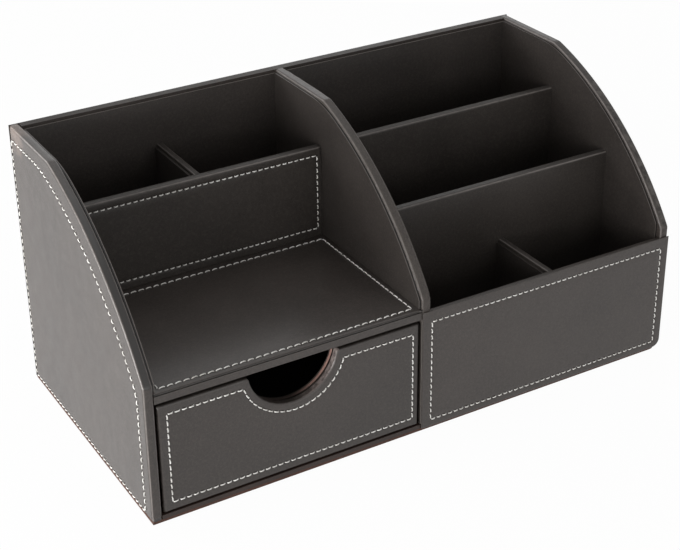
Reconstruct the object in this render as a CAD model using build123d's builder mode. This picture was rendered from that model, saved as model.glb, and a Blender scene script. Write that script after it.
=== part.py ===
from build123d import *
import os
from math import sqrt

os.makedirs("parts", exist_ok=True)

# Desk organizer with one drawer, in millimetres. Boards are wrapped in leatherette.
# X runs from left to right, Y from the front to the back, Z up.
# The origin is the middle of the underside.

# ---------------------------------------------------------------- driving dimensions

# Case outline
case_width = 270.0
case_depth = 134.0
case_height = 131.2
flat_top_depth = 49.5  # level run of the upright boards' top edge, from the back
corner_rise = 4.3  # the boards' upright front edge goes this far above the shelf, up to the arc
profile_radius = 159.0  # convex arc of the upright boards
kink_radius = 3.0  # where the arc meets the level top
foot_radius = 2.5  # where the arc meets the upright front
lower_corner_radius = 4.0  # front lower corner at the right end

# Thickness of the case's boards and sheets
side_thickness = 4.6
partition_thickness = 4.6
back_thickness = 3.6
back_cover_thickness = 1.0
base_board_thickness = 2.0
base_sheet_thickness = 1.4
shelf_thickness = 3.5
shelf_cover_thickness = 1.5
riser_thickness = 4.4
divider_thickness = 4.4
pocket_divider_thickness = 3.0
cross_divider_thickness = 3.0
front_board_thickness = 3.0
front_cover_thickness = 0.9
side_liner_thickness = 1.0
back_liner_thickness = 0.8
floor_liner_thickness = 0.8
divider_liner_thickness = 1.0

# Where the case's inner boards stand
partition_offset = -0.8  # middle of the partition from the middle of the case
drawer_bay_height = 54.5
shelf_depth = 83.6  # open shelf in front of the riser
riser_height = 45.5
pocket_divider_drop = 0.3  # its top edge below the riser's
pocket_divider_offset = 1.35  # its middle to the right of its bay's
front_cover_drop = 1.7  # its top edge below the shelf's surface
front_board_drop = 0.6  # its top edge below the cover's
rear_compartment_depth = 38.2
middle_compartment_depth = 39.6
rear_divider_height = 104.0
middle_divider_height = 86.1
cross_divider_drop = 1.1  # its top edge below the front cover's
cross_divider_offset = 2.6  # its middle to the right of its bay's

# Liners stand back from the boards' edges
left_bay_setback = 1.3
right_bay_setback = 2.2
liner_kink_radius = 50.0  # the liners round the kink in one long curve
back_liner_drop = 1.5
divider_liner_drop = 1.9  # a small divider's liner below its top edge

# Edges
wrap_radius = 1.2  # folded rim of a wrapped board
divider_wrap_radius = 1.0
sheet_radius = 0.45  # softened edge of a thin sheet
base_inset = 0.4  # base sheet inside the case's outline

# Drawer
drawer_side_gap = 1.2
drawer_top_gap = 2.0
drawer_floor_gap = 0.4
drawer_back_gap = 1.5
drawer_front_recess = 0.2
drawer_front_thickness = 4.0
drawer_packing_thickness = 1.2
drawer_wall_thickness = 2.2
drawer_bottom_thickness = 2.0
drawer_lining_thickness = 0.6
drawer_box_inset = 0.6  # box inside the ends of the drawer front
drawer_box_drop = 1.0  # box below the top of the drawer front
wall_edge_radius = 0.5

# Finger notch
notch_radius = 21.2
notch_rise = 2.8  # the notch's centre above the drawer front's top edge
notch_corner_radius = 1.6
packing_notch_setback = 1.8
box_notch_setback = 0.9

# ---------------------------------------------------------------- places that follow

left = -case_width / 2
right = case_width / 2
front = -case_depth / 2
back = case_depth / 2

board_front = front + front_cover_thickness
board_back = back - back_cover_thickness
back_face = board_back - back_thickness  # front face of the back panel
liner_back = back_face - back_liner_thickness
board_bottom = base_sheet_thickness
floor = board_bottom + base_board_thickness

left_wall = left + side_thickness
right_wall = right - side_thickness
partition_left = partition_offset - partition_thickness / 2
partition_right = partition_offset + partition_thickness / 2

shelf_underside = floor + drawer_bay_height
shelf_top = shelf_underside + shelf_thickness
shelf_surface = shelf_top + shelf_cover_thickness
corner_height = shelf_surface + corner_rise
front_cover_top = shelf_surface - front_cover_drop
riser_front = board_front + shelf_depth
riser_back = riser_front + riser_thickness

left_bay_left = left_wall + side_liner_thickness
left_bay_right = partition_left - side_liner_thickness
right_bay_left = partition_right + side_liner_thickness
right_bay_right = right_wall - side_liner_thickness
right_floor = floor + floor_liner_thickness
front_board_back = board_front + front_board_thickness
rear_divider_back = liner_back - rear_compartment_depth
rear_divider_front = rear_divider_back - divider_thickness
middle_divider_back = rear_divider_front - middle_compartment_depth
middle_divider_front = middle_divider_back - divider_thickness

drawer_left = left_wall + drawer_side_gap
drawer_right = partition_left - drawer_side_gap
drawer_middle = (drawer_left + drawer_right) / 2
drawer_low = floor + drawer_floor_gap
drawer_high = shelf_underside - drawer_top_gap
drawer_face = board_front + drawer_front_recess
packing_face = drawer_face + drawer_front_thickness
box_face = packing_face + drawer_packing_thickness
box_back = back_face - drawer_back_gap
box_left = drawer_left + drawer_box_inset
box_right = drawer_right - drawer_box_inset
box_high = drawer_high - drawer_box_drop
notch_height = drawer_high + notch_rise

# Centre of the boards' arc, from its two ends and its radius
kink_y = back - flat_top_depth
run_y = kink_y - board_front
run_z = case_height - corner_height
chord = sqrt(run_y**2 + run_z**2)
reach = sqrt(profile_radius**2 - (chord / 2) ** 2)
arc_y = (board_front + kink_y) / 2 + reach * run_z / chord
arc_z = (corner_height + case_height) / 2 - reach * run_y / chord


# ---------------------------------------------------------------- shared shapes


def profile_lines(front_y, back_y, bottom_z, top_z, setback):
    """Outline of an upright board: level top, convex arc set back from the case's, upright front."""
    radius = profile_radius - setback
    foot = (front_y, arc_z + sqrt(radius**2 - (arc_y - front_y) ** 2))
    kink = (arc_y - sqrt(radius**2 - (top_z - arc_z) ** 2), top_z)
    Polyline(kink, (back_y, top_z), (back_y, bottom_z), (front_y, bottom_z), foot)
    RadiusArc(foot, kink, radius)


def profile_corners(sketch):
    """The outline's kink, the foot of its arc and its front lower corner."""
    kink = sketch.vertices().group_by(Axis.Y)[-1].sort_by(Axis.X)[0]
    front_ends = sketch.vertices().group_by(Axis.X)[0].sort_by(Axis.Y)
    return kink, front_ends[-1], front_ends[0]


def rim_edges(part, bottom_z, back_y):
    """Edges of a board's two faces, without those along its underside and its back."""
    around = part.edges().filter_by(Axis.X, reverse=True)
    above = around.filter_by(lambda edge: edge.center().Z > bottom_z + wrap_radius / 4)
    return above.filter_by(lambda edge: edge.center().Y < back_y - wrap_radius / 4)


def upright_board(label, left_x, thickness, bottom_z, back_y, lower_corner=None):
    """A wrapped side board or partition with a folded rim."""
    with BuildPart() as board:
        with BuildSketch(Plane.YZ.offset(left_x)) as outline:
            with BuildLine():
                profile_lines(board_front, back_y, bottom_z, case_height, 0)
            make_face()
            kink, foot, corner = profile_corners(outline)
            fillet(kink, kink_radius)
            fillet(foot, foot_radius)
            if lower_corner:
                fillet(corner, lower_corner)
        extrude(amount=thickness)
        fillet(rim_edges(board, bottom_z, back_y), wrap_radius)
    board.part.label = label
    return board


def side_liner(label, left_x, front_y, bottom_z, setback):
    """A thin sheet on an upright board's face, set back from its arc and rounding the kink."""
    with BuildPart() as liner:
        with BuildSketch(Plane.YZ.offset(left_x)) as outline:
            with BuildLine():
                profile_lines(front_y, liner_back, bottom_z, case_height - wrap_radius, setback)
            make_face()
            kink, foot, corner = profile_corners(outline)
            fillet(kink, liner_kink_radius)
            fillet(foot, foot_radius)
        extrude(amount=side_liner_thickness)
    liner.part.label = label
    return liner


def block(label, x_ends, y_ends, z_ends):
    """A plain sheet or wall between two places along each axis."""
    with BuildPart() as sheet:
        with BuildSketch(Plane.XY.offset(z_ends[0])):
            with Locations((sum(x_ends) / 2, sum(y_ends) / 2)):
                Rectangle(x_ends[1] - x_ends[0], y_ends[1] - y_ends[0])
        extrude(amount=z_ends[1] - z_ends[0])
    sheet.part.label = label
    return sheet


def cross_board(label, x_ends, y_ends, z_ends, rim_axis, rim_radius):
    """A wrapped board on edge, whose top rim along one axis is folded over."""
    with BuildPart() as board:
        with BuildSketch(Plane.XY.offset(z_ends[0])):
            with Locations((sum(x_ends) / 2, sum(y_ends) / 2)):
                Rectangle(x_ends[1] - x_ends[0], y_ends[1] - y_ends[0])
        extrude(amount=z_ends[1] - z_ends[0])
        fillet(board.edges().filter_by(rim_axis).group_by(Axis.Z)[-1], rim_radius)
    board.part.label = label
    return board


def notch_outline(width, low_z, high_z, radius):
    """Upright plate outline with the finger notch cut down from its top edge."""
    with Locations((drawer_middle, (low_z + high_z) / 2)):
        Rectangle(width, high_z - low_z)
    with Locations((drawer_middle, notch_height)):
        Circle(radius, mode=Mode.SUBTRACT)


# ---------------------------------------------------------------- case: upright boards

left_side_panel = upright_board("left_side_panel", left, side_thickness, board_bottom, board_back)
right_side_panel = upright_board(
    "right_side_panel", right_wall, side_thickness, board_bottom, board_back, lower_corner_radius
)
centre_partition = upright_board(
    "centre_partition", partition_left, partition_thickness, floor, back_face
)

left_front_edge = board_front + left_bay_setback
left_side_liner = side_liner(
    "left_side_liner", left_wall, left_front_edge, shelf_surface, left_bay_setback
)
partition_left_liner = side_liner(
    "partition_left_liner", left_bay_right, left_front_edge, shelf_surface, left_bay_setback
)
partition_right_liner = side_liner(
    "partition_right_liner", partition_right, front_board_back, floor, right_bay_setback
)
right_side_liner = side_liner(
    "right_side_liner", right_bay_right, front_board_back, floor, right_bay_setback
)

# ---------------------------------------------------------------- case: back

back_panel = block(
    "back_panel", (left_wall, right_wall), (back_face, board_back), (board_bottom, case_height)
)

with BuildPart() as back_cover:
    with BuildSketch(Plane.XZ.offset(-board_back)):
        with Locations((0, (board_bottom + case_height) / 2)):
            Rectangle(case_width, case_height - board_bottom)
    extrude(amount=-back_cover_thickness)
    fillet(back_cover.faces().sort_by(Axis.Y)[-1].edges(), sheet_radius)
back_cover.part.label = "back_cover"

back_liner_top = case_height - back_liner_drop
left_back_liner = block(
    "left_back_liner",
    (left_wall, partition_left),
    (liner_back, back_face),
    (shelf_surface, back_liner_top),
)
right_back_liner = block(
    "right_back_liner",
    (partition_right, right_wall),
    (liner_back, back_face),
    (floor, back_liner_top),
)

# ---------------------------------------------------------------- case: base and shelf

with BuildPart() as base_sheet:
    with BuildSketch() as base_outline:
        with Locations(((left + right) / 2, (board_front + back) / 2)):
            Rectangle(case_width - 2 * base_inset, back - board_front - base_inset)
        front_right = base_outline.vertices().group_by(Axis.Y)[0].sort_by(Axis.X)[-1]
        fillet(front_right, lower_corner_radius + base_inset)
    extrude(amount=base_sheet_thickness)
base_sheet.part.label = "base_sheet"

base_board = block(
    "base_board", (left_wall, right_wall), (board_front, back_face), (board_bottom, floor)
)

shelf_board = block(
    "shelf_board",
    (left_wall, partition_left),
    (board_front, back_face),
    (shelf_underside, shelf_top),
)

with BuildPart() as shelf_cover:
    with BuildSketch(Plane.XY.offset(shelf_top)):
        with Locations(((left_wall + partition_left) / 2, (board_front + back_face) / 2)):
            Rectangle(partition_left - left_wall, back_face - board_front)
    extrude(amount=shelf_cover_thickness)
    folded = shelf_cover.edges().filter_by(Axis.X).group_by(Axis.Y)[0].sort_by(Axis.Z)[-1]
    fillet(folded, wrap_radius)
shelf_cover.part.label = "shelf_cover"

riser_top = shelf_surface + riser_height
riser_panel = cross_board(
    "riser_panel",
    (left_bay_left, left_bay_right),
    (riser_front, riser_back),
    (shelf_surface, riser_top),
    Axis.X,
    wrap_radius,
)

pocket_middle = (left_bay_left + left_bay_right) / 2 + pocket_divider_offset
pocket_divider_left = pocket_middle - pocket_divider_thickness / 2
pocket_divider_top = riser_top - pocket_divider_drop
pocket_divider = cross_board(
    "pocket_divider",
    (pocket_divider_left, pocket_divider_left + pocket_divider_thickness),
    (riser_back, liner_back),
    (shelf_surface, pocket_divider_top),
    Axis.Y,
    divider_wrap_radius,
)
pocket_divider_liner = block(
    "pocket_divider_liner",
    (pocket_divider_left - divider_liner_thickness, pocket_divider_left),
    (riser_back, liner_back),
    (shelf_surface, pocket_divider_top - divider_liner_drop),
)

# ---------------------------------------------------------------- case: right bay

right_floor_liner = block(
    "right_floor_liner",
    (right_bay_left, right_bay_right),
    (front_board_back, liner_back),
    (floor, right_floor),
)

rear_divider = cross_board(
    "rear_divider",
    (right_bay_left, right_bay_right),
    (rear_divider_front, rear_divider_back),
    (right_floor, right_floor + rear_divider_height),
    Axis.X,
    wrap_radius,
)
middle_divider = cross_board(
    "middle_divider",
    (right_bay_left, right_bay_right),
    (middle_divider_front, middle_divider_back),
    (right_floor, right_floor + middle_divider_height),
    Axis.X,
    wrap_radius,
)

cross_middle = (right_bay_left + right_bay_right) / 2 + cross_divider_offset
cross_divider_left = cross_middle - cross_divider_thickness / 2
cross_divider_top = front_cover_top - cross_divider_drop
front_cross_divider = cross_board(
    "front_cross_divider",
    (cross_divider_left, cross_divider_left + cross_divider_thickness),
    (front_board_back, middle_divider_front),
    (right_floor, cross_divider_top),
    Axis.Y,
    divider_wrap_radius,
)
cross_divider_liner = block(
    "cross_divider_liner",
    (cross_divider_left - divider_liner_thickness, cross_divider_left),
    (front_board_back, middle_divider_front),
    (right_floor, cross_divider_top - divider_liner_drop),
)

with BuildPart() as right_front_board:
    with BuildSketch(Plane.XY.offset(floor)):
        with Locations(((partition_right + right_wall) / 2, (board_front + front_board_back) / 2)):
            Rectangle(right_wall - partition_right, front_board_thickness)
    extrude(amount=front_cover_top - front_board_drop - floor)
    inner_rim = right_front_board.edges().filter_by(Axis.X).group_by(Axis.Z)[-1]
    fillet(inner_rim.sort_by(Axis.Y)[-1], wrap_radius)
right_front_board.part.label = "right_front_board"

with BuildPart() as right_front_cover:
    with BuildSketch(Plane.XZ.offset(-board_front)) as cover_outline:
        with Locations(((partition_left + right) / 2, (board_bottom + front_cover_top) / 2)):
            Rectangle(right - partition_left, front_cover_top - board_bottom)
        lower_right = cover_outline.vertices().group_by(Axis.Y)[0].sort_by(Axis.X)[-1]
        fillet(lower_right, lower_corner_radius)
    extrude(amount=front_cover_thickness)
    fillet(right_front_cover.faces().sort_by(Axis.Y)[0].edges(), sheet_radius)
right_front_cover.part.label = "right_front_cover"

# ---------------------------------------------------------------- drawer

with BuildPart() as drawer_front:
    with BuildSketch(Plane.XZ.offset(-drawer_face)) as face_outline:
        notch_outline(drawer_right - drawer_left, drawer_low, drawer_high, notch_radius)
        top_vertices = face_outline.vertices().group_by(Axis.Y)[-1].sort_by(Axis.X)
        fillet(top_vertices[1:-1], notch_corner_radius)
    extrude(amount=-drawer_front_thickness)
    fillet(drawer_front.faces().sort_by(Axis.Y)[0].edges(), wrap_radius)
drawer_front.part.label = "drawer_front"

with BuildPart() as drawer_front_packing:
    with BuildSketch(Plane.XZ.offset(-packing_face)):
        packing_radius = notch_radius + packing_notch_setback
        notch_outline(box_right - box_left, drawer_low, box_high, packing_radius)
    extrude(amount=-drawer_packing_thickness)
drawer_front_packing.part.label = "drawer_front_packing"

with BuildPart() as drawer_box_front:
    with BuildSketch(Plane.XZ.offset(-box_face)):
        inner_width = box_right - box_left - 2 * drawer_wall_thickness
        notch_outline(inner_width, drawer_low, box_high, notch_radius + box_notch_setback)
    extrude(amount=-drawer_wall_thickness)
drawer_box_front.part.label = "drawer_box_front"

box_inner_left = box_left + drawer_wall_thickness
box_inner_right = box_right - drawer_wall_thickness
box_inner_front = box_face + drawer_wall_thickness
box_inner_back = box_back - drawer_wall_thickness
drawer_left_side = cross_board(
    "drawer_left_side",
    (box_left, box_inner_left),
    (box_face, box_back),
    (drawer_low, box_high),
    Axis.Y,
    wall_edge_radius,
)
drawer_right_side = cross_board(
    "drawer_right_side",
    (box_inner_right, box_right),
    (box_face, box_back),
    (drawer_low, box_high),
    Axis.Y,
    wall_edge_radius,
)
drawer_back = cross_board(
    "drawer_back",
    (box_inner_left, box_inner_right),
    (box_inner_back, box_back),
    (drawer_low, box_high),
    Axis.X,
    wall_edge_radius,
)

drawer_floor = drawer_low + drawer_bottom_thickness
drawer_bottom = block(
    "drawer_bottom",
    (box_inner_left, box_inner_right),
    (box_inner_front, box_inner_back),
    (drawer_low, drawer_floor),
)
drawer_lining = block(
    "drawer_lining",
    (box_inner_left, box_inner_right),
    (box_inner_front, box_inner_back),
    (drawer_floor, drawer_floor + drawer_lining_thickness),
)

# ---------------------------------------------------------------- files

pieces = [
    left_side_panel,
    right_side_panel,
    centre_partition,
    left_side_liner,
    partition_left_liner,
    partition_right_liner,
    right_side_liner,
    back_panel,
    back_cover,
    left_back_liner,
    right_back_liner,
    base_sheet,
    base_board,
    shelf_board,
    shelf_cover,
    riser_panel,
    pocket_divider,
    pocket_divider_liner,
    right_floor_liner,
    rear_divider,
    middle_divider,
    front_cross_divider,
    cross_divider_liner,
    right_front_board,
    right_front_cover,
    drawer_front,
    drawer_front_packing,
    drawer_box_front,
    drawer_left_side,
    drawer_right_side,
    drawer_back,
    drawer_bottom,
    drawer_lining,
]
for piece in pieces:
    export_step(piece.part, f"parts/{piece.part.label}.step")
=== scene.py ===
import math
import random

import bmesh
import bpy
import numpy as np
from mathutils import Matrix, Vector, geometry, kdtree, noise


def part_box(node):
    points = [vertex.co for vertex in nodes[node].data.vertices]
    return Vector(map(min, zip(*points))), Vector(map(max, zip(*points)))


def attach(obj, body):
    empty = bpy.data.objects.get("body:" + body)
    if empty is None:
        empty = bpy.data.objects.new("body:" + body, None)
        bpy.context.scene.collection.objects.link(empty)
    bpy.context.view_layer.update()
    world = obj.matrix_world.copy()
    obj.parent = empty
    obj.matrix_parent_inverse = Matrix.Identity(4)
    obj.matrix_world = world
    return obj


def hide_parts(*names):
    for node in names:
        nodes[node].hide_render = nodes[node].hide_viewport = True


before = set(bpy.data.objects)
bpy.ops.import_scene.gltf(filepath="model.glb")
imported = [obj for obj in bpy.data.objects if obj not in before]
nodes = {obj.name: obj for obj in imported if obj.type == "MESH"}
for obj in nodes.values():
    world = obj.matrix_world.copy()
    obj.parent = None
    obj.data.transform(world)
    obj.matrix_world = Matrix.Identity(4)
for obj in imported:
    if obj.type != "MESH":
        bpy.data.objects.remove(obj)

random.seed(7)
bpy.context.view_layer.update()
MM = 0.001

# ------------------------------------------------------------------ node helpers


class Tree:
    """The node tree of a material or world, with short calls for the nodes used here."""

    def __init__(self, owner):
        owner.use_nodes = True
        self.tree = owner.node_tree
        self.tree.nodes.clear()

    def node(self, kind, inputs=None, **props):
        n = self.tree.nodes.new(kind)
        for key, value in props.items():
            setattr(n, key, value)
        for key, value in (inputs or {}).items():
            self.put(n.inputs[key], value)
        return n

    def put(self, socket, value):
        if isinstance(value, bpy.types.NodeSocket):
            self.tree.links.new(value, socket)
        else:
            socket.default_value = value

    def coords(self):
        return self.node("ShaderNodeTexCoord").outputs["Object"]

    def split(self, vector):
        """X, Y and Z of a vector."""
        return self.node("ShaderNodeSeparateXYZ", {0: vector}).outputs

    def facing(self):
        """X, Y and Z of the surface's normal."""
        return self.split(self.node("ShaderNodeNewGeometry").outputs["Normal"])

    def noise(self, vector, scale, detail=3.0, rough=0.5):
        n = self.node("ShaderNodeTexNoise", {"Vector": vector, "Scale": scale, "Detail": detail, "Roughness": rough})
        return n.outputs["Fac"]

    def cells(self, vector, scale):
        """Distance to the nearest wall between random cells."""
        n = self.node("ShaderNodeTexVoronoi", {"Vector": vector, "Scale": scale}, feature="DISTANCE_TO_EDGE")
        return n.outputs["Distance"]

    def math(self, op, a, b=0.0):
        return self.node("ShaderNodeMath", {0: a, 1: b}, operation=op).outputs[0]

    def plus(self, a, b):
        return self.math("ADD", a, b)

    def times(self, first, *others):
        for other in others:
            first = self.math("MULTIPLY", first, other)
        return first

    def remap(self, value, low, high, to_low=0.0, to_high=1.0):
        n = self.node(
            "ShaderNodeMapRange",
            {"Value": value, "From Min": low, "From Max": high, "To Min": to_low, "To Max": to_high},
        )
        return n.outputs["Result"]

    def mix(self, fac, a, b):
        """The colour a where fac is 0, and b where it is 1; each a colour's three values or a socket."""
        n = self.node("ShaderNodeMix", data_type="RGBA")
        self.put(n.inputs["Factor"], fac)
        self.put(n.inputs[6], rgb(a))
        self.put(n.inputs[7], rgb(b))
        return n.outputs[2]

    def mottle(self, value, low, high, dark, light):
        """A colour that runs from dark to light while value runs from low to high."""
        return self.mix(self.remap(value, low, high), dark, light)

    def bump(self, height, strength, distance, normal=None):
        n = self.node("ShaderNodeBump", {"Height": height, "Strength": strength, "Distance": distance})
        if normal is not None:
            self.put(n.inputs["Normal"], normal)
        return n.outputs["Normal"]

    def seen_directly(self):
        """1 for the camera's own rays, reflections and what is seen through glass, 0 for the light that falls."""
        rays = self.node("ShaderNodeLightPath").outputs
        near = self.math("MAXIMUM", rays["Is Camera Ray"], rays["Is Glossy Ray"])
        return self.math("MAXIMUM", near, rays["Is Transmission Ray"])


class Shader(Tree):
    """A new material."""

    def __init__(self, name):
        self.mat = bpy.data.materials.new(name)
        super().__init__(self.mat)
        self.out = self.node("ShaderNodeOutputMaterial")

    def surface(self, socket):
        self.put(self.out.inputs["Surface"], socket)

    def principled(self, inputs):
        self.surface(self.node("ShaderNodeBsdfPrincipled", inputs).outputs[0])


def rgb(colour):
    """Three values as an opaque colour; a socket stays as it is."""
    return colour if isinstance(colour, bpy.types.NodeSocket) else (*colour, 1.0)


# ------------------------------------------------------------------ where things lie, in millimetres

NOTCH = (-66.75, 58.7)  # centre of the drawer's finger notch, in x and z
NOTCH_RADIUS = 21.2
NOTCH_REACH = (NOTCH_RADIUS + 1.3) * MM  # takes in every layer that lines the notch, in metres
BOX_WALL_BACK = -59.3  # y behind which the box wall is leatherette again
WORN_PLACE = (-132.5, 60.0, 131.2)  # top rear corner of the left side panel
ARC_CENTRE = (66.9, -21.1)  # of the upright boards' front arc, in y and z
ARC_RADIUS = 159.0

# ------------------------------------------------------------------ leatherette, card and thread

# Scales of the noises, in cells per metre
DRIFT, STREAK, SWELL = 22.0, 140.0, 60.0
PEBBLE, SPECK, FINE = 1150.0, 760.0, 3200.0

BLACK = (0.0, 0.0, 0.0)
SHADE = (0.010, 0.0085, 0.0075)  # on a dark sloping edge
SLOPE_PATCH = (0.110, 0.098, 0.088)  # pale patches on a sloping edge
PAINTED_RIM_HIGHLIGHT = (0.170, 0.152, 0.142)  # painted highlight on a rim
WORN = (0.165, 0.125, 0.105)  # on a corner
GATHERED_AND_LIT = ((0.075, 0.062, 0.058), (0.260, 0.215, 0.200))  # wrap drawn round the notch, paler, with painted light from the left on it
GROOVE_SHADE, LINING_EDGE_HIGHLIGHT = (0.0025, 0.0020, 0.0018), (0.105, 0.092, 0.084)  # a lining's cut edge: painted shade in the groove at its board, painted highlight at its free rim
# painted highlight on a lining's top
LINING_TOP_HIGHLIGHT = (0.190, 0.172, 0.160)
GROOVE = (0.55 * MM, 0.68 * MM)  # where a lining's cut edge turns from painted shade to painted highlight, from its board


def at_notch(s, co):
    """Two masks: the faces that line the notch, near its circle and turned to its centre, and its right side, which
    fades to painted shade towards its left side.
    """
    place = s.split(co)
    dx = s.math("SUBTRACT", place[0], NOTCH[0] * MM)
    dz = s.math("SUBTRACT", place[2], NOTCH[1] * MM)
    away = s.math("SQRT", s.plus(s.times(dx, dx), s.times(dz, dz)))
    edge_on = s.remap(s.math("ABSOLUTE", s.facing()[1]), 0.75, 0.35)
    near = s.times(edge_on, s.math("LESS_THAN", away, NOTCH_REACH))
    # the second mask paints shade: it fades the notch's pale colours out towards its left side
    return near, s.remap(dx, 0.05 * NOTCH_REACH, 0.85 * NOTCH_REACH, 0.08, 1.0)


def edge_masks(s, axis):
    """Two masks for a wrapped board whose faces look along this axis: its rounded rims, and its sloping edge."""
    facing = s.facing()
    across = s.times(facing[axis], facing[axis])
    rim = s.remap(s.times(across, s.math("SUBTRACT", 1.0, across), 4.0), 0.45, 0.95)
    up = s.math("ABSOLUTE", facing[2])
    slope = s.times(s.remap(up, 0.10, 0.30), s.remap(up, 0.96, 0.88), s.remap(across, 0.02, 0.10, 1.0, 0.0))
    return rim, slope


def edge_highlight_and_shade(s, co, colour, axis, rim_highlight, shaded, pale_patches):
    """Paint a highlight on the rims, paint shade on the sloping edge, and lay pale patches on it."""
    rim, slope = edge_masks(s, axis)
    uneven = s.remap(s.noise(co, 260.0), 0.30, 0.60, 0.55, 1.0)
    patches = s.remap(s.noise(co, 210.0, 4.0, 0.6), 0.42, 0.60, 0.0, pale_patches)
    # painted shade on the sloping edge
    colour = s.mix(s.times(slope, shaded), colour, SHADE)
    colour = s.mix(s.times(slope, patches), colour, SLOPE_PATCH)
    # painted highlight on the rims
    return s.mix(s.times(rim, uneven, rim_highlight), colour, PAINTED_RIM_HIGHLIGHT)


def wear_corner(s, co, colour, place):
    """Wear the corner at this place brownish."""
    reach = s.node("ShaderNodeVectorMath", {0: co, 1: [v * MM for v in place]}, operation="DISTANCE")
    blot = s.plus(reach.outputs["Value"], s.remap(s.noise(co, 170.0), 0.3, 0.7, -4 * MM, 4 * MM))
    return s.mix(s.remap(blot, 4 * MM, 13 * MM, 0.75, 0.0), colour, WORN)


def gathered_wrap_and_light(s, co, colour):
    """Pale the wrap where it is gathered in the notch, with painted light from the left on it."""
    pale = s.mottle(s.noise(co, 520.0, 3.0, 0.6), 0.35, 0.62, *GATHERED_AND_LIT)
    return s.mix(s.times(*at_notch(s, co)), colour, pale)


def lining_edge_shade_and_highlight(s, co, colour, board):
    """A lining's cut edge: painted shade in the groove at the board whose face is at this x, and a painted highlight
    at its free rim.
    """
    edge_on = s.math("LESS_THAN", s.math("ABSOLUTE", s.facing()[0]), 0.5)
    away = s.math("ABSOLUTE", s.math("SUBTRACT", s.split(co)[0], board * MM))
    return s.mix(edge_on, colour, s.mottle(away, *GROOVE, GROOVE_SHADE, LINING_EDGE_HIGHLIGHT))


def leatherette(
    name, deep, worn, rough, grain=1.0, coat=0.4, specular=0.28, axis=None, rim_highlight=0.5, shaded=0.0, pale_patches=0.0,
    in_notch=False, corner=None, board=None, top_highlight=False,
):
    """Fine pebbled leatherette: soft colour drift, painted shade in the grain's creases, uneven gloss and grain in
    the bump.

    The last values paint light and shade, and add wear: a painted highlight on the rims, and painted shade and pale
    patches on the sloping edge, of a board that faces along axis; a paler wrap with painted light in the notch; wear
    at a corner; painted shade and a painted highlight on the cut edge of a lining that lies on a board; and a
    painted highlight on a lining's top.
    """
    s = Shader(name)
    co = s.coords()
    drift = s.noise(co, DRIFT, 4.0, 0.55)
    crease = s.remap(s.cells(co, PEBBLE), 0.0, 0.12)
    tone = s.mottle(drift, 0.35, 0.65, deep, worn)
    speck = s.remap(s.noise(co, SPECK, 2.0, 0.6), 0.45, 0.72, 0.0, 0.30)
    tone = s.mix(speck, tone, [1.9 * c for c in worn])
    # painted shade in the grain's creases
    colour = s.mix(s.remap(crease, 0.0, 1.0, 0.75, 0.0), tone, s.mix(0.42, tone, BLACK))
    if axis is not None:
        colour = edge_highlight_and_shade(s, co, colour, axis, rim_highlight, shaded, pale_patches)
    if in_notch:
        # paler gathered wrap, with painted light, in the notch
        colour = gathered_wrap_and_light(s, co, colour)
    if corner is not None:
        colour = wear_corner(s, co, colour, corner)
    if board is not None:
        # painted shade and painted highlight on a lining's cut edge
        colour = lining_edge_shade_and_highlight(s, co, colour, board)
    if top_highlight:
        # painted highlight on the top
        colour = s.mix(s.math("GREATER_THAN", s.facing()[2], 0.7), colour, LINING_TOP_HIGHLIGHT)
    streaks = s.remap(s.noise(co, STREAK), 0.3, 0.7, rough - 0.035, rough + 0.035)
    height = s.plus(s.times(crease, 0.75), s.times(s.noise(co, FINE, 2.0), 0.25))
    swell = s.bump(s.noise(co, SWELL, 2.0), 0.13, 0.4 * MM)
    s.principled(
        {
            "Base Color": colour,
            "Roughness": s.plus(streaks, s.remap(drift, 0.3, 0.7, -0.02, 0.02)),
            "Normal": s.bump(height, 0.20 * grain, 0.12 * MM, swell),
            "Specular IOR Level": specular,
            "Coat Weight": coat,
            "Coat Roughness": 0.22,
        }
    )
    return s.mat


def card(name, deep, pale):
    """Pressed board or card: short fibres and a matte surface."""
    s = Shader(name)
    co = s.coords()
    fibre = s.noise(co, 900.0, 5.0, 0.7)
    mixed = s.plus(s.times(fibre, 0.7), s.times(s.noise(co, 90.0), 0.3))
    s.principled(
        {
            "Base Color": s.mottle(mixed, 0.35, 0.65, deep, pale),
            "Roughness": s.remap(fibre, 0.3, 0.7, 0.80, 0.93),
            "Normal": s.bump(fibre, 0.4, 0.15 * MM),
        }
    )
    return s.mat


def cut_edge(name, deep, pale, under):
    """Leatherette wall whose edge at the finger notch is bare reddish card, faded back to leatherette towards the
    notch's left side as painted shade.
    """
    s = Shader(name)
    co = s.coords()
    # bare card, faded out by painted shade towards the notch's left side
    bare = s.times(*at_notch(s, co), s.math("LESS_THAN", s.split(co)[1], BOX_WALL_BACK * MM))
    fibre = s.noise(co, 1400.0, 4.0, 0.65)
    leather = s.mottle(s.noise(co, DRIFT, 4.0, 0.55), 0.35, 0.65, *under)
    s.principled(
        {
            "Base Color": s.mix(bare, leather, s.mottle(fibre, 0.35, 0.65, deep, pale)),
            "Roughness": s.remap(bare, 0.0, 1.0, 0.44, 0.8),
            "Normal": s.bump(s.plus(fibre, s.cells(co, PEBBLE)), 0.25, 0.12 * MM),
        }
    )
    return s.mat


def thread_material():
    """White thread, a little soiled and fluffy."""
    s = Shader("thread")
    co = s.coords()
    fluff = s.noise(co, 2600.0)
    clean = s.mottle(s.noise(co, 75.0), 0.35, 0.7, (0.80, 0.79, 0.76), (0.62, 0.60, 0.56))
    s.principled(
        {
            "Base Color": s.mix(s.remap(fluff, 0.3, 0.7, 0.0, 0.25), clean, (0.42, 0.39, 0.35)),
            "Roughness": 0.62,
            "Normal": s.bump(fluff, 0.5, 0.1 * MM),
            "Sheen Weight": 0.25,
        }
    )
    return s.mat


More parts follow.
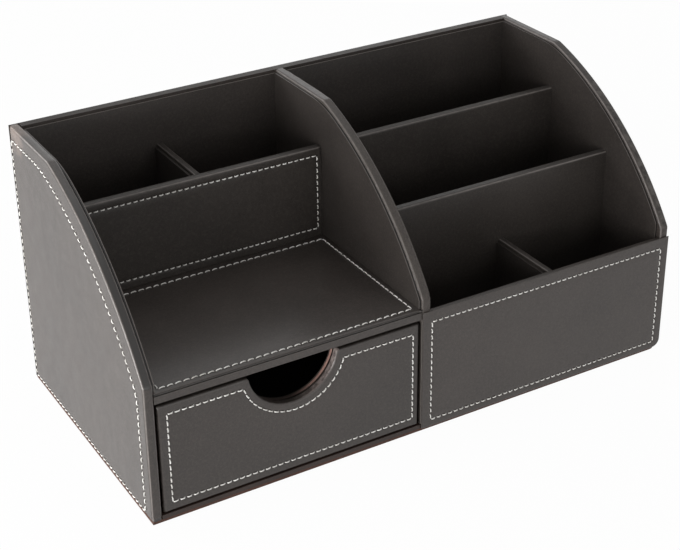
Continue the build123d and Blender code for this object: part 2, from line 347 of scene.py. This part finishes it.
# Tones from deep to worn; with gloss, grain, coat and specular where several materials share them
# One leatherette: FRONT, REAR, INNER and LINING are darker copies of OUTER as painted shade, and MIDDLE a lighter
# copy as painted light
OUTER = ((0.035, 0.0285, 0.0250), (0.047, 0.0385, 0.0340))
FRONT = ((0.0305, 0.0250, 0.0220), (0.0410, 0.0337, 0.0298))
MIDDLE = ((0.040, 0.0335, 0.0290), (0.054, 0.0450, 0.0395))
REAR = tuple([0.75 * c for c in tone] for tone in OUTER)
INNER_TONES = ((0.0285, 0.0242, 0.0213), (0.0380, 0.0325, 0.0288))
INNER = (*INNER_TONES, 0.50, 0.9, 0.15, 0.2)
LINING = ((0.0270, 0.0228, 0.0203), (0.0365, 0.0308, 0.0275), 0.52, 0.9, 0.2, 0.22)
# the drawer's own lining, made lighter as painted light in the drawer's dark inside
DRAWER_TONES = ((0.052, 0.0460, 0.0410), (0.068, 0.0600, 0.0540))
# brown wrap of the base, darkened as painted shade under the drawer front
BASE_TONES = ((0.020, 0.0118, 0.0090), (0.031, 0.0180, 0.0135))

LEATHER = leatherette("leatherette_outer", *OUTER, 0.46)
# the left side panel gets heavier painted shade on its sloping edge than the right one
LEATHER_SIDE = leatherette(
    "leatherette_side", *OUTER, 0.46, 1.3, axis=0, rim_highlight=0.85, shaded=0.9, corner=WORN_PLACE
)
LEATHER_RIGHT = leatherette(
    "leatherette_right_side", *OUTER, 0.46, 1.3, 0.22, 0.22, axis=0, rim_highlight=0.85, shaded=0.5, pale_patches=0.65
)
LEATHER_MID = leatherette("leatherette_middle", *MIDDLE, 0.48, 1.3, 0.22, 0.22, axis=0)
LEATHER_BACK = leatherette("leatherette_back", *REAR, 0.50, 1.0, 0.05, 0.14, axis=1, rim_highlight=0.35)
LEATHER_EDGE = leatherette("leatherette_edge", *OUTER, 0.46, axis=1, rim_highlight=0.6)
LEATHER_FRONT = leatherette("leatherette_front", *FRONT, 0.46, in_notch=True)
LEATHER_IN = leatherette("leatherette_inner", *INNER, axis=1, rim_highlight=0.8)
LEATHER_IN_X = leatherette("leatherette_inner_side", *INNER, axis=0, rim_highlight=0.7)
LINER = leatherette("lining_sheet", *LINING)
# back linings with a painted highlight on their tops
LINER_BACK = leatherette("back_lining_sheet", *LINING, top_highlight=True)
DRAWER_LINER = leatherette("drawer_lining_sheet", *DRAWER_TONES, 0.62, 0.9, 0.1)
BASE_WRAP = leatherette("leatherette_base", *BASE_TONES, 0.52, coat=0.2)
BASE = card("base_card", (0.042, 0.0170, 0.0105), (0.078, 0.0330, 0.0205))
PACKING = card("packing_card", (0.085, 0.0120, 0.0085), (0.150, 0.0220, 0.0150))
THREAD = thread_material()
BOX_WALL = cut_edge("box_wall", (0.27, 0.145, 0.118), (0.42, 0.260, 0.220), INNER_TONES)

# ------------------------------------------------------------------ flat shapes


def arc_points(centre, radius, start, end, step=1.2):
    """Points of an arc between two angles, in radians."""
    count = max(2, int(abs(end - start) * radius / step) + 1)
    turns = np.linspace(start, end, count)
    return [(centre[0] + radius * math.cos(t), centre[1] + radius * math.sin(t)) for t in turns]


def angle_of(centre, point):
    return math.atan2(point[1] - centre[1], point[0] - centre[0])


def rectangle(low, high):
    """Corners of a rectangle, anticlockwise from its lower left."""
    (x0, y0), (x1, y1) = low, high
    return [(x0, y0), (x1, y0), (x1, y1), (x0, y1)]


def rounded(corners, radii):
    """A closed outline through these corners, each rounded with its own radius."""
    out = []
    n = len(corners)
    for i, (corner, radius) in enumerate(zip(corners, radii)):
        c = Vector(corner)
        a = (Vector(corners[i - 1]) - c).normalized()
        b = (Vector(corners[(i + 1) % n]) - c).normalized()
        if radius <= 0:
            out.append((c.x, c.y))
            continue
        half = a.angle(b) / 2
        reach = radius / math.tan(half)
        centre = c + (a + b).normalized() * radius / math.sin(half)
        start, end = c + a * reach, c + b * reach
        t0, t1 = angle_of(centre, start), angle_of(centre, end)
        t1 = t0 + (t1 - t0 + math.pi) % (2 * math.pi) - math.pi
        out += arc_points(centre, radius, t0, t1, min(1.0, radius * 0.35))
    return out


def dense(points, step, closed=True):
    """The same line with points no further apart than step."""
    out = []
    for a, b in zip(points, points[1:] + (points[:1] if closed else [])):
        count = max(1, math.ceil(math.dist(a, b) / step))
        for k in range(count):
            t = k / count
            out.append((a[0] + (b[0] - a[0]) * t, a[1] + (b[1] - a[1]) * t))
    if not closed:
        out.append(points[-1])
    return out


def below_line(z_line, radius, inner):
    """Centre of a circle that touches a level line from below and the arc of radius inner from inside."""
    z = z_line - radius
    return (ARC_CENTRE[0] - math.sqrt((inner - radius) ** 2 - (z - ARC_CENTRE[1]) ** 2), z)


def behind_line(y_line, radius, inner):
    """Centre of a circle that touches an upright line from behind and the arc of radius inner from inside."""
    y = y_line + radius
    return (y, ARC_CENTRE[1] + math.sqrt((inner - radius) ** 2 - (y - ARC_CENTRE[0]) ** 2))


def profile(front, back, bottom, top, setback, kink_radius, foot_radius):
    """Corner-to-corner runs of an upright board's outline in (y, z): front and arc and top, back, underside."""
    inner = ARC_RADIUS - setback
    kink = below_line(top, kink_radius, inner)
    foot = behind_line(front, foot_radius, inner)
    kink_turn = angle_of(ARC_CENTRE, kink)
    foot_turn = angle_of(ARC_CENTRE, foot)
    climb = [(front, bottom), (front, foot[1])]
    climb += arc_points(foot, foot_radius, math.pi, foot_turn, 0.7)[1:]
    climb += arc_points(ARC_CENTRE, inner, foot_turn, kink_turn)[1:]
    climb += arc_points(kink, kink_radius, kink_turn, math.pi / 2, 0.7)[1:]
    climb += [(back, top)]
    return [climb, [(back, top), (back, bottom)], [(back, bottom), (front, bottom)]]


def box_runs(low, high):
    """Four corner-to-corner runs of a rectangle."""
    corners = rectangle(low, high)
    return [[corners[i], corners[(i + 1) % 4]] for i in range(4)]


def inside(points, outline):
    """Which points lie inside a closed outline."""
    a = np.asarray(outline)
    b = np.roll(a, -1, axis=0)
    crosses = np.zeros(len(points), int)
    for (ax, ay), (bx, by) in zip(a, b):
        spans = (ay > points[:, 1]) != (by > points[:, 1])
        if by != ay:
            x = ax + (points[:, 1] - ay) / (by - ay) * (bx - ax)
            crosses += spans & (points[:, 0] < x)
    return crosses % 2 == 1


def tree_of(points):
    tree = kdtree.KDTree(len(points))
    for i, (x, y) in enumerate(points):
        tree.insert((x, y, 0.0), i)
    tree.balance()
    return tree


def nearest(tree, u, v):
    return tree.find((u, v, 0.0))[2]


def sideways(along):
    """Unit vectors to the left of these ones."""
    return np.stack([-along[:, 1], along[:, 0]], 1)


def inward(points):
    """Unit miter vectors into a closed outline that runs anticlockwise."""
    p = np.asarray(points, float)
    along = np.roll(p, -1, axis=0) - p
    along /= np.linalg.norm(along, axis=1)[:, None]
    side = sideways(along)
    both = side + np.roll(side, 1, axis=0)
    both /= np.linalg.norm(both, axis=1)[:, None]
    return both / np.clip((both * side).sum(1), 0.6, 1.0)[:, None]


# ------------------------------------------------------------------ stitched panels, in millimetres

# Each seam's pitch, and the share of it that the stitch shows
SIDE_SEAM = (3.45, 0.60)
FRONT_SEAM = (3.08, 0.66)
COVER_SEAM = (3.08, 0.60)
RISER_SEAM = (3.12, 0.56)
SHELF_SEAM = (3.62, 0.70)

BOARD_RIM, SHEET_RIM = 1.15, 0.42  # radii
FACE_SINK = 0.07  # the stitched face lies this far in, so that its swells stay in the CAD's box
WRINKLE = 0.05
SEAM_DIP, HOLE_DIP, SEAM_SWELL = (0.12, 0.7), (0.20, 0.38), (0.06, 0.9)  # each one's depth and width
SWELL_AWAY = 1.9  # from the seam to the swell beside it
OUTLINE_STEP = 2.0
RIM_STEPS = np.radians([90, 72, 54, 36, 18, 0])
RIM_SUPPORT = 0.4  # from the rounded rim to the face's own edge
GRID = 2.4  # spacing of the face's points away from the seam
SEAM_ROWS = (0.0, 0.4, -0.4, 0.85, -0.85, 1.5, -1.5)  # rows of points beside the seam
SEAM_CLEAR, EDGE_CLEAR, POINT_CLEAR = 2.2, 0.45, 0.22

THREAD_RADIUS = 0.28
THREAD_SIDES, THREAD_STEPS = 9, 10
THREAD_LEAN, LEAN_SPREAD = 5, 2.5  # degrees off the seam's line
THREAD_STRETCH, THREAD_RISE = (0.95, 1.04), (0.07, 0.13)
THREAD_SINK = 0.46  # how far both ends dive under the middle
THREAD_FLATNESS = 0.86
PLY_SWELL, PLY_TWIST = 0.10, 2.4


class Plane:
    """A panel's plane: u and v in it, w out of its stitched face, all in millimetres."""

    def __init__(self, origin, u, v):
        self.origin, self.u, self.v = Vector(origin), Vector(u), Vector(v)
        self.w = self.u.cross(self.v)

    def at(self, u, v, w=0.0):
        return (self.origin + self.u * u + self.v * v + self.w * w) * MM


def front_plane(y):
    return Plane((0, y, 0), (1, 0, 0), (0, 0, 1))


def seam(runs, pitch, share):
    """Both ends of each stitch, the needle holes and the line they follow, along corner-to-corner runs."""
    stitches, holes, line = [], [], []
    for run in runs:
        pts = np.asarray(dense(run, 0.25, closed=False))
        gaps = np.linalg.norm(np.diff(pts, axis=0), axis=1)
        reach = np.concatenate([[0.0], np.cumsum(gaps)])
        total = reach[-1]
        count = max(1, round(total / pitch))
        step = total / count

        def at(s):
            return np.array([np.interp(s, reach, pts[:, 0]), np.interp(s, reach, pts[:, 1])])

        for k in range(count):
            mid = (k + 0.5) * step
            half = step * share / 2
            a, b = at(mid - half), at(mid + half)
            stitches.append((a, b))
            holes += [a, b]
        line += [tuple(p) for p in pts]
    return stitches, holes, line


def new_mesh(name, verts, faces, material):
    """A smooth mesh object whose normals all look outwards."""
    mesh = bpy.data.meshes.new(name)
    mesh.from_pydata(verts, [], faces)
    mesh.validate()
    obj = bpy.data.objects.new(name, mesh)
    bpy.context.scene.collection.objects.link(obj)
    bm = bmesh.new()
    bm.from_mesh(mesh)
    bmesh.ops.recalc_face_normals(bm, faces=bm.faces)
    bm.to_mesh(mesh)
    bm.free()
    mesh.shade_smooth()
    mesh.materials.append(material)
    return obj


def bell(value, depth, width):
    return depth * math.exp(-((value / width) ** 2))


def face_points(runs, pitch, line_tree, support):
    """Points of a stitched face: rows along the seam, then an even grid, all clear of each other and the edge."""
    points = []
    for run in runs:
        pts = np.asarray(dense(run, pitch / 6, closed=False))
        along = np.gradient(pts, axis=0)
        along /= np.linalg.norm(along, axis=1)[:, None] + 1e-9
        for gap in SEAM_ROWS:
            points += [tuple(p) for p in pts + sideways(along) * gap]
    low, high = support.min(0), support.max(0)
    across = np.arange(low[0] + GRID / 2, high[0], GRID)
    up = np.arange(low[1] + GRID / 2, high[1], GRID)
    points += [(x, y) for x in across for y in up if nearest(line_tree, x, y) > SEAM_CLEAR]
    points = np.asarray(points)
    border_tree = tree_of(dense([tuple(p) for p in support], 0.8))
    kept, taken = [], set()
    for p, good in zip(points, inside(points, support)):
        if not good or nearest(border_tree, *p) < EDGE_CLEAR:
            continue
        cell = (round(p[0] / POINT_CLEAR), round(p[1] / POINT_CLEAR))
        if cell not in taken:
            taken.add(cell)
            kept.append((float(p[0]), float(p[1])))
    return kept


def panel(name, node, plane, outline, radii, thickness, runs, stitch, body, material, gather=None):
    """A wrapped board or sheet: rounded rim, and a face that dips along its seam and at each needle hole."""
    pts = dense(outline, OUTLINE_STEP)
    area = sum(a[0] * b[1] - b[0] * a[1] for a, b in zip(pts, pts[1:] + pts[:1]))
    if area < 0:
        pts.reverse()
    n = len(pts)
    outer = np.asarray(pts)
    push = inward(pts)
    r = np.array([radii(u, v) for u, v in pts])
    pitch, share = stitch
    stitches, holes, line = seam(runs, pitch, share)
    line_tree, hole_tree = tree_of(line), tree_of([tuple(h) for h in holes])

    def swell(u, v):
        """How far the face swells, or dips where this is negative."""
        away = nearest(line_tree, u, v)
        sway = noise.noise(Vector((u, v, thickness * 3.1)) * 0.045) * WRINKLE
        dip = bell(away, *SEAM_DIP) + bell(nearest(hole_tree, u, v), *HOLE_DIP)
        return sway - 0.5 * WRINKLE - dip + bell(away - SWELL_AWAY, *SEAM_SWELL) - FACE_SINK

    verts, faces, rings = [], [], []

    def ring(inset, depth):
        rings.append(len(verts))
        spots = outer + push * inset[:, None]
        for (u, v), (push_u, push_v), w in zip(spots, push, -depth):
            fold = gather(u, v, float(w)) if gather else 0.0
            verts.append(tuple(plane.at(u + push_u * fold, v + push_v * fold, float(w))))
        return spots

    support = ring(r + RIM_SUPPORT, np.zeros(n) + FACE_SINK)
    for t in RIM_STEPS:
        ring(r * (1 - np.cos(t)), r * (1 - np.sin(t)) + FACE_SINK * np.sin(t))
    if gather:
        for part in (0.3, 0.5, 0.7):
            ring(r * 0, r * 0 + thickness * part)
    for t in RIM_STEPS[::-1]:
        ring(r * (1 - np.cos(t)), thickness - r * (1 - np.sin(t)))
    ring(r + RIM_SUPPORT, np.zeros(n) + thickness)
    for a, b in zip(rings, rings[1:]):
        for i in range(n):
            j = (i + 1) % n
            faces.append((a + i, b + i, b + j, a + j))
    faces.append(tuple(rings[-1] + i for i in reversed(range(n))))

    source = [Vector(p) for p in support] + [Vector(p) for p in face_points(runs, pitch, line_tree, support)]
    points, _, triangles, origins, _, _ = geometry.delaunay_2d_cdt(source, [], [list(range(n))], 1, 1e-5)
    index = []
    for p, known in zip(points, origins):
        on_rim = [o for o in known if o < n]
        if on_rim:
            index.append(rings[0] + on_rim[0])
        else:
            index.append(len(verts))
            verts.append(tuple(plane.at(p.x, p.y, swell(p.x, p.y))))
    faces += [tuple(index[i] for i in f) for f in triangles]

    obj = new_mesh(name, verts, faces, material)
    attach(obj, body)
    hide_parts(node)
    threads(name.replace("_board", "").replace("_sheet", "") + "_stitches", plane, stitches, body)


def threads(name, plane, stitches, body):
    """Two-ply saddle stitches: each rises out of one needle hole and sinks into the next."""
    verts, faces = [], []
    for a, b in stitches:
        mid, half = (a + b) / 2, (b - a) / 2
        length = float(np.linalg.norm(half)) * 2
        x, y = half / (length / 2)
        lean = math.radians(THREAD_LEAN + random.uniform(-LEAN_SPREAD, LEAN_SPREAD))
        along = np.array([x * math.cos(lean) - y * math.sin(lean), x * math.sin(lean) + y * math.cos(lean)])
        side = np.array([-along[1], along[0]])
        stretch = random.uniform(*THREAD_STRETCH)
        rise = random.uniform(*THREAD_RISE)
        phase = random.uniform(0, math.pi)
        base = len(verts)
        for k in range(THREAD_STEPS + 1):
            t = -1 + 2 * k / THREAD_STEPS
            s = t * length / 2 * stretch
            w = rise - THREAD_SINK * abs(t) ** 5
            slope = -THREAD_SINK * 5 * abs(t) ** 4 * (1 if t > 0 else -1) / (length / 2)
            tilt = math.atan(slope)
            for q in range(THREAD_SIDES):
                turn = 2 * math.pi * q / THREAD_SIDES
                ply = 1 + PLY_SWELL * math.cos(2 * (turn - phase - t * PLY_TWIST))
                cross = THREAD_RADIUS * ply * math.cos(turn)
                lift = THREAD_RADIUS * ply * math.sin(turn) * THREAD_FLATNESS
                p = mid + along * (s - lift * math.sin(tilt)) + side * cross
                verts.append(tuple(plane.at(p[0], p[1], w + lift * math.cos(tilt))))
            if k:
                below, above = base + (k - 1) * THREAD_SIDES, base + k * THREAD_SIDES
                for q in range(THREAD_SIDES):
                    after = (q + 1) % THREAD_SIDES
                    faces.append((below + q, below + after, above + after, above + q))
        faces.append(tuple(base + q for q in reversed(range(THREAD_SIDES))))
        faces.append(tuple(base + THREAD_STEPS * THREAD_SIDES + q for q in range(THREAD_SIDES)))
    obj = new_mesh(name, verts, faces, THREAD)
    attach(obj, body)


def span(node):
    """A CAD node's box, in millimetres."""
    low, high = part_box(node)
    return low / MM, high / MM


def board_rim(u, v):
    return BOARD_RIM


# Left and right side panels: the same outline and seam, which the left one shows mirrored
def flip(run):
    return [(-y, z) for y, z in run]


low, high = span("left_side_panel")
side_runs = profile(-59.4, 64.8, 2.9, high.z - 6.5, 9.0, 60.0, 15.0)
outline = [p for run in profile(low.y, high.y, low.z, high.z, 0.0, 3.0, 2.5) for p in run[:-1]]
panel(
    "left_side_board", "left_side_panel", Plane((low.x, 0, 0), (0, -1, 0), (0, 0, 1)), flip(outline), board_rim,
    high.x - low.x, [flip(run) for run in side_runs], SIDE_SEAM, "case", LEATHER_SIDE,
)
low, high = span("right_side_panel")
LOWER_CORNER = 4.0  # radius of the case's right lower front corner
front_foot = rounded([(low.y, low.z), (low.y, 40.0), (0.0, 40.0), (0.0, low.z)], [LOWER_CORNER, 0, 0, 0])[:-3]
panel(
    "right_side_board", "right_side_panel", Plane((high.x, 0, 0), (0, 1, 0), (0, 0, 1)), front_foot + outline[1:],
    board_rim, high.x - low.x, side_runs, SIDE_SEAM, "case", LEATHER_RIGHT,
)

# Riser: only its top has a board's full rim, as the rest is butted against its neighbours
RIM_FROM = 100.0  # height at which the full rim starts
low, high = span("riser_panel")
panel(
    "riser_board", "riser_panel", front_plane(low.y), rectangle((low.x, low.z), (high.x, high.z)),
    lambda u, v: BOARD_RIM if v > RIM_FROM else 0.35, high.y - low.y,
    box_runs((-127.0, low.z + 4.1), (-6.6, high.z - 4.0)), RISER_SEAM, "case", LEATHER_IN,
)

# Shelf cover: its front edge is rolled over the board's
low, high = span("shelf_cover")
front_edge = low.y
panel(
    "shelf_sheet", "shelf_cover", Plane((0, 0, high.z), (1, 0, 0), (0, 1, 0)),
    rectangle((low.x, low.y), (high.x, high.y)),
    lambda u, v: 1.1 if v < front_edge + 1 else 0.3, high.z - low.z,
    box_runs((-127.2, -63.0), (-6.6, 13.75)), SHELF_SEAM, "case", LEATHER,
)

# Front cover of the right bay
low, high = span("right_front_cover")
panel(
    "right_front_sheet", "right_front_cover", front_plane(low.y),
    rounded(rectangle((low.x, low.z), (high.x, high.z)), [0, LOWER_CORNER, 0, 0]),
    lambda u, v: SHEET_RIM, high.y - low.y,
    box_runs((1.7, 5.0), (130.5, 55.8)), COVER_SEAM, "case", LEATHER,
)

# Drawer front: its outline and its seam both go round the finger notch
NOTCH_LIP = 1.6
low, high = span("drawer_front")
lip_z = high.z - NOTCH_LIP
reach = math.sqrt((NOTCH_RADIUS + NOTCH_LIP) ** 2 - (NOTCH[1] - lip_z) ** 2)
left_lip, right_lip = (NOTCH[0] - reach, lip_z), (NOTCH[0] + reach, lip_z)
turn = angle_of(NOTCH, right_lip)
drawer_outline = [(low.x, low.z), (high.x, low.z), (high.x, high.z)]
drawer_outline += arc_points(right_lip, NOTCH_LIP, math.pi / 2, math.pi + turn, 0.4)
drawer_outline += arc_points(NOTCH, NOTCH_RADIUS, turn, -math.pi - turn, 0.5)[1:]
drawer_outline += arc_points(left_lip, NOTCH_LIP, -turn, math.pi / 2, 0.4)[1:]
drawer_outline += [(low.x, high.z)]
seam_left, seam_right, seam_bottom, seam_top = -125.2, -7.5, 8.2, 51.5
seam_centre, seam_radius = (NOTCH[0] + 0.3, NOTCH[1]), 25.0
swing = math.asin((seam_top - seam_centre[1]) / seam_radius)
seam_arc = arc_points(seam_centre, seam_radius, swing, -math.pi - swing, 0.8)
seam_corners = rectangle((seam_left, seam_bottom), (seam_right, seam_top))
drawer_runs = [
    seam_corners[0:2],
    seam_corners[1:3],
    [seam_corners[2], seam_arc[0]],
    seam_arc,
    [seam_arc[-1], seam_corners[3]],
    [seam_corners[3], seam_corners[0]],
]
FOLD_DEPTH, FOLD_REACH = 0.34, 3.0  # how deep the folds are, and how far from the notch they reach
FOLD_START, FOLD_RUN_IN = 0.6, 1.4  # how far behind the face they start, and the depth over which they grow


def notch_gather(u, v, w):
    """Small radial folds where the wrap is gathered round the notch, deeper towards the back."""
    near = 1.0 - min(1.0, abs(math.dist((u, v), NOTCH) - NOTCH_RADIUS) / FOLD_REACH)
    if near <= 0 or w > -FOLD_START:
        return 0.0
    turn = angle_of(NOTCH, (u, v))
    coarse = noise.noise(Vector((turn * 11.0, w * 0.25, 3.0)))
    fine = 0.6 * noise.noise(Vector((turn * 26.0, w * 0.5, 9.0)))
    return max(-0.1, coarse + fine) * FOLD_DEPTH * near * min(1.0, (-w - FOLD_START) / FOLD_RUN_IN)


panel(
    "drawer_front_board", "drawer_front", front_plane(low.y), drawer_outline, board_rim, high.y - low.y,
    drawer_runs, FRONT_SEAM, "drawer", LEATHER_FRONT, gather=notch_gather,
)

# ------------------------------------------------------------------ materials of the CAD nodes

by_node = {
    "centre_partition": LEATHER_MID,
    "back_cover": LEATHER_BACK,
    "back_panel": LEATHER_BACK,
    "left_back_liner": LINER_BACK,
    "right_back_liner": LINER_BACK,
    "pocket_divider": LEATHER_IN_X,
    "front_cross_divider": LEATHER_IN_X,
    "drawer_lining": DRAWER_LINER,
    "base_sheet": BASE,
    "base_board": BASE_WRAP,
    "shelf_board": LEATHER,
    "right_front_board": LEATHER_EDGE,
    "drawer_front_packing": PACKING,
    "drawer_box_front": BOX_WALL,
}
LOW_SIDE, HIGH_SIDE = 0, 1  # which side of its box a lining has against its board
for name, side in (
    ("left_side_liner", LOW_SIDE),
    ("partition_left_liner", HIGH_SIDE),
    ("partition_right_liner", LOW_SIDE),
    ("right_side_liner", HIGH_SIDE),
):
    # each lining's cut edge gets painted shade in the groove and a painted highlight at its rim
    by_node[name] = leatherette(name + "_sheet", *LINING, board=span(name)[side].x)
for name, obj in nodes.items():
    material = by_node.get(name, LINER if "liner" in name else LEATHER_IN)
    obj.data.materials.clear()
    obj.data.materials.append(material)

# ------------------------------------------------------------------ floor, world, lights

WHITE = (1.0, 1.0, 1.0)
FLOOR_HALF = 4.0
FLOOR_DROP = 0.3 * MM  # below the base sheet
FLOOR_GLOW = 0.97  # share of the floor that is plain white where it is looked at
WORLD_LIGHT = 0.33  # strength for the light that falls, against 1 where the world is looked at

floor_mesh = bpy.data.meshes.new("floor")
floor_corners = rectangle((-FLOOR_HALF, -FLOOR_HALF), (FLOOR_HALF, FLOOR_HALF))
floor_mesh.from_pydata([(x, y, 0) for x, y in floor_corners], [], [(0, 1, 2, 3)])
floor = bpy.data.objects.new("floor", floor_mesh)
floor.location.z = -FLOOR_DROP
bpy.context.scene.collection.objects.link(floor)
s = Shader("floor_paper")
paper_tone = s.mix(s.noise(s.coords(), 40.0), (0.86, 0.86, 0.86), (0.88, 0.88, 0.88))
paper = s.node("ShaderNodeBsdfDiffuse", {"Color": paper_tone}).outputs[0]
glow = s.node("ShaderNodeEmission", {"Color": rgb(WHITE), "Strength": 1.0}).outputs[0]
s.surface(s.node("ShaderNodeMixShader", {0: s.times(s.seen_directly(), FLOOR_GLOW), 1: paper, 2: glow}).outputs[0])
floor_mesh.materials.append(s.mat)

world = bpy.data.worlds.new("studio")
bpy.context.scene.world = world
sky = Tree(world)
strength = sky.remap(sky.seen_directly(), 0.0, 1.0, WORLD_LIGHT, 1.0)
backdrop = sky.node("ShaderNodeBackground", {"Color": rgb(WHITE), "Strength": strength}).outputs[0]
sky.node("ShaderNodeOutputWorld", {"Surface": backdrop})


def softbox(name, place, aim, width, height, power):
    light = bpy.data.lights.new(name, "AREA")
    light.shape = "RECTANGLE"
    light.size, light.size_y = width, height
    light.energy = power
    obj = bpy.data.objects.new(name, light)
    obj.location = place
    obj.rotation_euler = (Vector(aim) - Vector(place)).to_track_quat("-Z", "Y").to_euler()
    bpy.context.scene.collection.objects.link(obj)


softbox("left", (-0.79, -0.10, 0.13), (-0.10, 0, 0.075), 1.1, 0.22, 10.3)
softbox("behind", (-0.75, 0.95, 0.62), (-0.05, 0, 0.10), 0.5, 0.35, 4)
softbox("front", (0.1, -1.5, 0.42), (0, 0, 0.05), 1.0, 0.6, 3.8)
softbox("top", (0.1, 0.2, 1.5), (0, 0, 0.05), 1.0, 1.0, 2.6)
softbox("right_behind", (0.75, 1.25, 0.70), (0, 0, 0.12), 0.7, 0.45, 1.2)

# ------------------------------------------------------------------ camera, fitted to the photograph

WIDTH, HEIGHT = 680, 550
FOCAL = 1570.02  # in pixels
LENS_CENTRE = (312, 214)  # where the lens axis meets the picture, in pixels
SENSOR = 36.0
PLACE = Vector((-331.24, -554.08, 405.38)) * MM
AZIMUTH, ELEVATION, ROLL = math.radians(-29.351), math.radians(26.729), math.radians(-1.09)

level = math.cos(ELEVATION)
back_dir = Vector((math.sin(AZIMUTH) * level, -math.cos(AZIMUTH) * level, math.sin(ELEVATION)))
right_dir = (-back_dir).cross(Vector((0, 0, 1))).normalized()
up_dir = right_dir.cross(-back_dir)
x_axis = math.cos(ROLL) * right_dir + math.sin(ROLL) * up_dir
y_axis = -math.sin(ROLL) * right_dir + math.cos(ROLL) * up_dir
camera_data = bpy.data.cameras.new("camera")
camera_data.sensor_width = SENSOR
camera_data.lens = FOCAL / WIDTH * SENSOR
camera_data.shift_x = (WIDTH / 2 - LENS_CENTRE[0]) / WIDTH
camera_data.shift_y = (LENS_CENTRE[1] - HEIGHT / 2) / WIDTH
camera_data.clip_start = 0.05
camera = bpy.data.objects.new("camera", camera_data)
camera.matrix_world = Matrix.Translation(PLACE) @ Matrix((x_axis, y_axis, back_dir)).transposed().to_4x4()
bpy.context.scene.collection.objects.link(camera)
bpy.context.scene.camera = camera
bpy.context.scene.view_settings.view_transform = "Standard"
